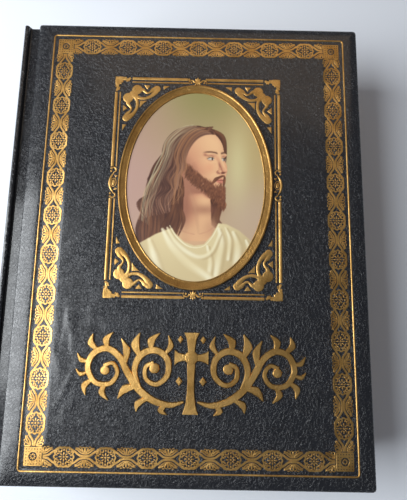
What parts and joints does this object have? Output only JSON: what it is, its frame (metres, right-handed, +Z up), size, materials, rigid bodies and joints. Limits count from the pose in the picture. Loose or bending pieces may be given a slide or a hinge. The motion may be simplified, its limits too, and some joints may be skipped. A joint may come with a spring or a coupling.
{
  "type": "family bible",
  "caption": "Large hardback bible in black padded leatherette, with hinged covers, a rounded spine, a gilt border and an oval picture in a gilt frame.",
  "frame": {"origin": "on the surface the book lies on, under the middle of its bounding box", "axes": "+X from the spine to the fore-edge, +Y from the tail to the head, +Z up through the front cover"},
  "size_m": [0.232, 0.292, 0.0616],
  "materials": {
    "leatherette": "crinkle grain, semi-gloss",
    "gold_foil": "hot-stamped foil, satin",
    "printed_paper": "coated print",
    "endpaper": "uncoated",
    "page_paper": "uncoated, gilt edges",
    "grey_board": "plain",
    "padding": "closed-cell foam",
    "cotton_tape": "plain weave",
    "gauze": "open weave in glue",
    "lining_paper": "kraft",
    "band_thread": "striped thread"
  },
  "bodies": {
    "root": {"text_sections_front": "page_paper", "text_sections_middle": "page_paper", "text_sections_rear": "page_paper", "front_leaf_folds": "page_paper", "endpaper_hinges": "endpaper", "sewing_tapes": "cotton_tape", "mull": "gauze", "spine_lining": "lining_paper", "headband": "band_thread", "tailband": "band_thread", "spine_inlay": "grey_board", "spine_covering": "leatherette"},
    "front_cover": {"front_board": "grey_board", "front_padding": "padding", "front_covering": "leatherette", "front_pastedown": "endpaper", "border_rule": "gold_foil", "border_medallions": "gold_foil", "border_crosslets": "gold_foil", "corner_squares": "gold_foil", "inner_frame_bars": "gold_foil", "inner_frame_corners": "gold_foil", "inner_frame_bosses": "gold_foil", "scroll_ornaments": "gold_foil", "portrait_frame": "gold_foil", "portrait_print": "printed_paper", "lower_ornament": "gold_foil"},
    "front_flyleaf_body": {"front_flyleaf": "endpaper"},
    "front_leaves_body": {"front_leaves": "page_paper"},
    "rear_flyleaf_body": {"rear_flyleaf": "endpaper"},
    "back_cover": {"back_board": "grey_board", "back_padding": "padding", "back_covering": "leatherette", "back_pastedown": "endpaper"}
  },
  "joints": [
    {"name": "front_cover_hinge", "type": "hinge", "parent": "root", "child": "front_cover", "pos_m": [-0.107, 0, 0.0569], "axis": [0, -1, 0], "range_deg": [0, 178]},
    {"name": "front_flyleaf_hinge", "type": "hinge", "parent": "root", "child": "front_flyleaf_body", "pos_m": [-0.107, 0, 0.0569], "axis": [0, -1, 0], "range_deg": [0, 175]},
    {"name": "front_leaves_hinge", "type": "hinge", "parent": "root", "child": "front_leaves_body", "pos_m": [-0.107, 0, 0.0569], "axis": [0, -1, 0], "range_deg": [0, 168]},
    {"name": "rear_flyleaf_hinge", "type": "hinge", "parent": "root", "child": "rear_flyleaf_body", "pos_m": [-0.107, 0, 0.0031], "axis": [0, -1, 0], "range_deg": [-175, 0]},
    {"name": "back_cover_hinge", "type": "hinge", "parent": "root", "child": "back_cover", "pos_m": [-0.107, 0, 0.0031], "axis": [0, -1, 0], "range_deg": [-178, 0]}
  ],
  "couplings": [
    {"joint": "front_flyleaf_hinge", "follows": "front_cover_hinge", "ratio": 0.97},
    {"joint": "front_leaves_hinge", "follows": "front_cover_hinge", "ratio": 0.93},
    {"joint": "rear_flyleaf_hinge", "follows": "back_cover_hinge", "ratio": 0.97}
  ]
}
